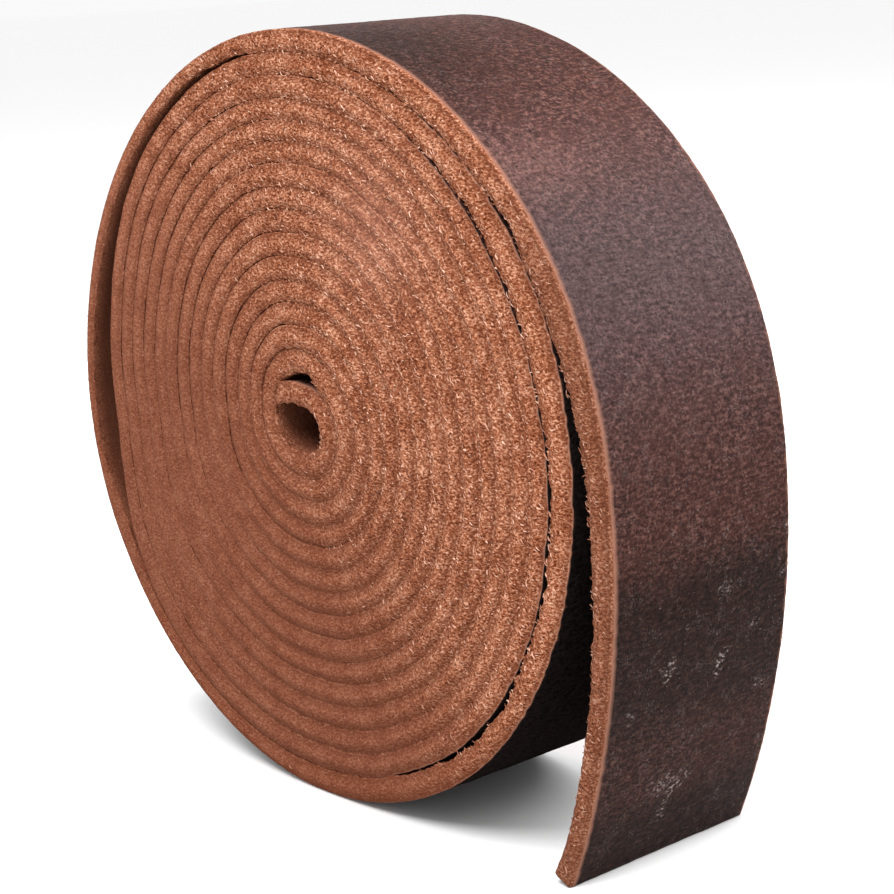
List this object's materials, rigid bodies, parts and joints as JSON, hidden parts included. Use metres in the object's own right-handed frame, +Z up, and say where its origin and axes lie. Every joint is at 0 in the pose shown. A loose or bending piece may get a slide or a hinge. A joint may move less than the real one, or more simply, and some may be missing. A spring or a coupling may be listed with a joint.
{
  "type": "rolled leather strap",
  "caption": "Narrow leather strap rolled up tight, standing on its edge, with its free outer end hanging down beside the roll as a strut.",
  "frame": {"origin": "on the floor, under the middle of the roll's outline and midway across the strap's width", "axes": "+Z up; +Y along the roll's axis, across the strap's width; +X towards the side where the free end hangs"},
  "size_m": [0.0926, 0.0254, 0.0855],
  "materials": {
    "leather": "satin waxed grain, suede edges and flesh"
  },
  "bodies": {
    "roll": {"coiled_laps": "leather"},
    "outer_lap_left": {"outer_lap_left": "leather"},
    "outer_lap_crown": {"outer_lap_crown": "leather"},
    "outer_lap_shoulder": {"outer_lap_shoulder": "leather"},
    "outer_lap_right": {"outer_lap_right": "leather"},
    "free_end_root": {"free_end_root": "leather"},
    "free_end_middle": {"free_end_middle": "leather"},
    "free_end_tip": {"free_end_tip": "leather"}
  },
  "joints": [
    {"name": "outer_lap_left_bend", "type": "hinge", "parent": "roll", "child": "outer_lap_left", "pos_m": [-0.04135, 0, 0.0225], "axis": [0, -1, 0], "range_deg": [0, 10], "stiffness_Nm_per_rad": 0.08},
    {"name": "outer_lap_crown_bend", "type": "hinge", "parent": "outer_lap_left", "child": "outer_lap_crown", "pos_m": [-0.04579, 0, 0.0468], "axis": [0, -1, 0], "range_deg": [0, 10], "stiffness_Nm_per_rad": 0.08},
    {"name": "outer_lap_shoulder_bend", "type": "hinge", "parent": "outer_lap_crown", "child": "outer_lap_shoulder", "pos_m": [-0.00426, 0, 0.08532], "axis": [0, -1, 0], "range_deg": [0, 10], "stiffness_Nm_per_rad": 0.08},
    {"name": "outer_lap_right_bend", "type": "hinge", "parent": "outer_lap_shoulder", "child": "outer_lap_right", "pos_m": [0.0271, 0, 0.07683], "axis": [0, -1, 0], "range_deg": [0, 10], "stiffness_Nm_per_rad": 0.08},
    {"name": "free_end_root_bend", "type": "hinge", "parent": "outer_lap_right", "child": "free_end_root", "pos_m": [0.04307, 0, 0.05628], "axis": [0, -1, 0], "range_deg": [-2.5, 12], "stiffness_Nm_per_rad": 0.08},
    {"name": "free_end_middle_bend", "type": "hinge", "parent": "free_end_root", "child": "free_end_middle", "pos_m": [0.04615, 0, 0.04159], "axis": [0, -1, 0], "range_deg": [-2.5, 12], "stiffness_Nm_per_rad": 0.08},
    {"name": "free_end_tip_bend", "type": "hinge", "parent": "free_end_middle", "child": "free_end_tip", "pos_m": [0.04459, 0, 0.02029], "axis": [0, -1, 0], "range_deg": [-2.5, 12], "stiffness_Nm_per_rad": 0.08}
  ],
  "couplings": [
    {"joint": "outer_lap_crown_bend", "follows": "outer_lap_left_bend", "ratio": 1},
    {"joint": "outer_lap_shoulder_bend", "follows": "outer_lap_left_bend", "ratio": 1},
    {"joint": "outer_lap_right_bend", "follows": "outer_lap_left_bend", "ratio": 1},
    {"joint": "free_end_middle_bend", "follows": "free_end_root_bend", "ratio": 1},
    {"joint": "free_end_tip_bend", "follows": "free_end_root_bend", "ratio": 1}
  ]
}
